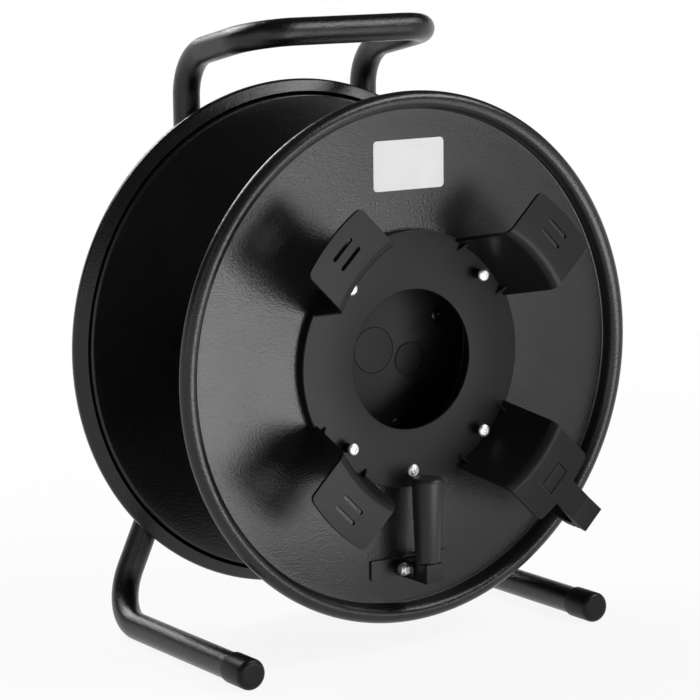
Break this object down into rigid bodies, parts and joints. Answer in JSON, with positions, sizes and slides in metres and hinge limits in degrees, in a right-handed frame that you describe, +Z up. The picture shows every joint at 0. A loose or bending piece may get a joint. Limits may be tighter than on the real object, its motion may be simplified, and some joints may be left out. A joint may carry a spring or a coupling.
{
  "type": "cable reel",
  "caption": "Empty sheet-steel cable drum with rolled rims on a bent-tube stand, with a plastic winding holder, a fold-out crank grip and a cable clip.",
  "frame": {"origin": "on the floor under the middle of the reel's bounding box", "axes": "+Z up, -Y to the front, where the hub pot and the crank are, +X to the right seen from the front"},
  "size_m": [0.3799, 0.2354, 0.4511],
  "materials": {
    "stand_coat": "satin black powder coat",
    "cap_plastic": "smooth black moulding",
    "drum_coat": "black powder coat with a fine leather-like grain",
    "pot_plastic": "smooth black moulding",
    "holder_plastic": "smooth dark moulding",
    "zinc_steel": "bright zinc plating",
    "black_steel": "blackened screws",
    "crank_plastic": "dark bluish moulding with sharp edges",
    "grip_plastic": "warm dark grey matte moulding"
  },
  "bodies": {
    "stand": {"frame_tube": "stand_coat", "foot_cap_left": "cap_plastic", "foot_cap_right": "cap_plastic", "axle_plate": "stand_coat", "axle": "zinc_steel", "axle_nut_front": "zinc_steel", "axle_nut_rear": "zinc_steel"},
    "drum": {"front_flange": "drum_coat", "rear_flange": "drum_coat", "core": "drum_coat", "bearing_hub": "zinc_steel", "hub_pot": "pot_plastic", "axle_cap": "pot_plastic", "holder_ring": "holder_plastic", "holder_wing_1": "holder_plastic", "holder_wing_2": "holder_plastic", "holder_wing_3": "holder_plastic", "holder_wing_4": "holder_plastic", "wing_screw_1": "zinc_steel", "wing_screw_2": "zinc_steel", "wing_screw_3": "zinc_steel", "wing_screw_4": "zinc_steel", "ring_screw": "zinc_steel", "pot_screw_1": "black_steel", "pot_screw_2": "black_steel", "pot_screw_3": "black_steel", "pot_screw_4": "black_steel", "cable_clip": "holder_plastic", "crank_bracket": "drum_coat", "pivot_bolt": "zinc_steel", "pivot_nut": "zinc_steel"},
    "crank": {"crank_block": "crank_plastic", "spindle": "zinc_steel"},
    "grip": {"grip": "grip_plastic"}
  },
  "joints": [
    {"name": "drum_spin", "type": "hinge", "parent": "stand", "child": "drum", "pos_m": [0, 0.00832, 0.2115], "axis": [0, 1, 0], "continuous": true},
    {"name": "crank_fold", "type": "hinge", "parent": "drum", "child": "crank", "pos_m": [0, -0.07318, 0.062], "axis": [1, 0, 0], "range_deg": [0, 90]},
    {"name": "grip_spin", "type": "hinge", "parent": "crank", "child": "grip", "pos_m": [0, -0.08518, 0.0685], "axis": [0, 0, 1], "continuous": true}
  ]
}
